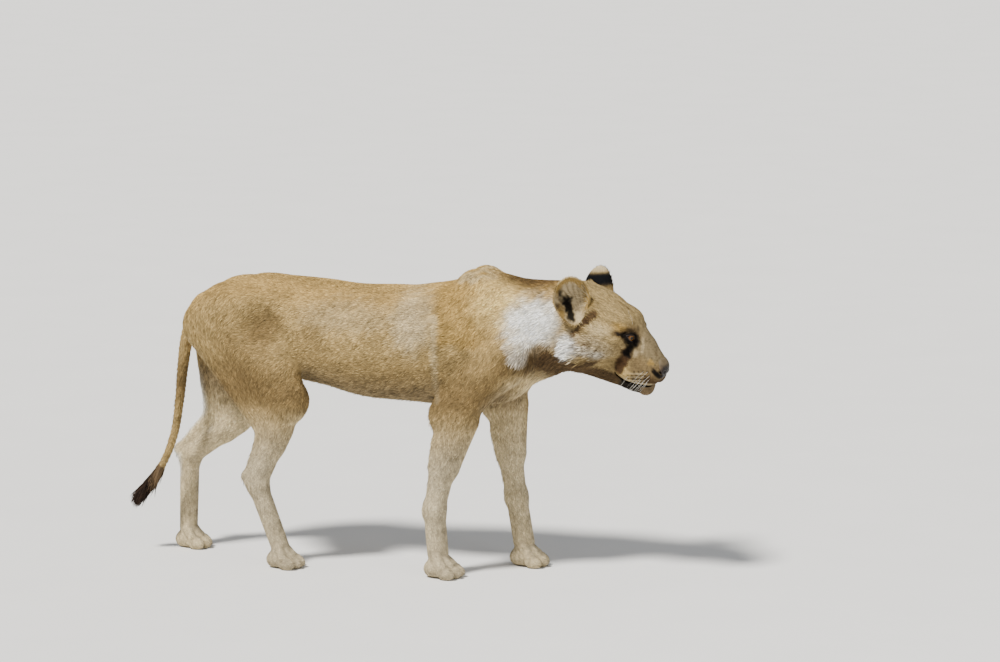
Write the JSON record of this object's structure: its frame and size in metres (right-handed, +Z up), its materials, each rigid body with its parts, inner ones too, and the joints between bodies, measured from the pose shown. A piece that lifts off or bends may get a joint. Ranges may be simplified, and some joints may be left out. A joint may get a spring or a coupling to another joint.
{
  "type": "lioness",
  "caption": "Life-size adult lioness standing in a walking pose, head carried low and turned a little to her right, dark tail tuft hanging.",
  "frame": {"origin": "floor level under the centre of the bounding box", "axes": "+X forward along the spine, +Y to her left, +Z up"},
  "size_m": [1.7186, 0.3456, 0.9276],
  "materials": {
    "coat_tan": "short tan fur",
    "coat_pale": "short pale fur",
    "coat_chin": "short fur with dark lip skin",
    "ear_coat": "short fur, black patch behind",
    "hair_dark_brown": "long dark hair",
    "nose_leather": "matt damp skin",
    "eye_amber": "wet gloss"
  },
  "bodies": {
    "root": {"torso": "coat_tan", "neck": "coat_tan", "tail": "coat_tan", "tail_tuft": "hair_dark_brown", "foreleg_right": "coat_tan", "foreleg_left": "coat_tan", "hindleg_right": "coat_tan", "hindleg_left": "coat_tan", "forepaw_right": "coat_pale", "forepaw_left": "coat_pale", "hindpaw_right": "coat_pale", "hindpaw_left": "coat_pale", "head": "coat_tan", "jaw": "coat_chin", "nose": "nose_leather", "ear_right": "ear_coat", "ear_left": "ear_coat", "eye_right": "eye_amber", "eye_left": "eye_amber"}
  },
  "joints": []
}
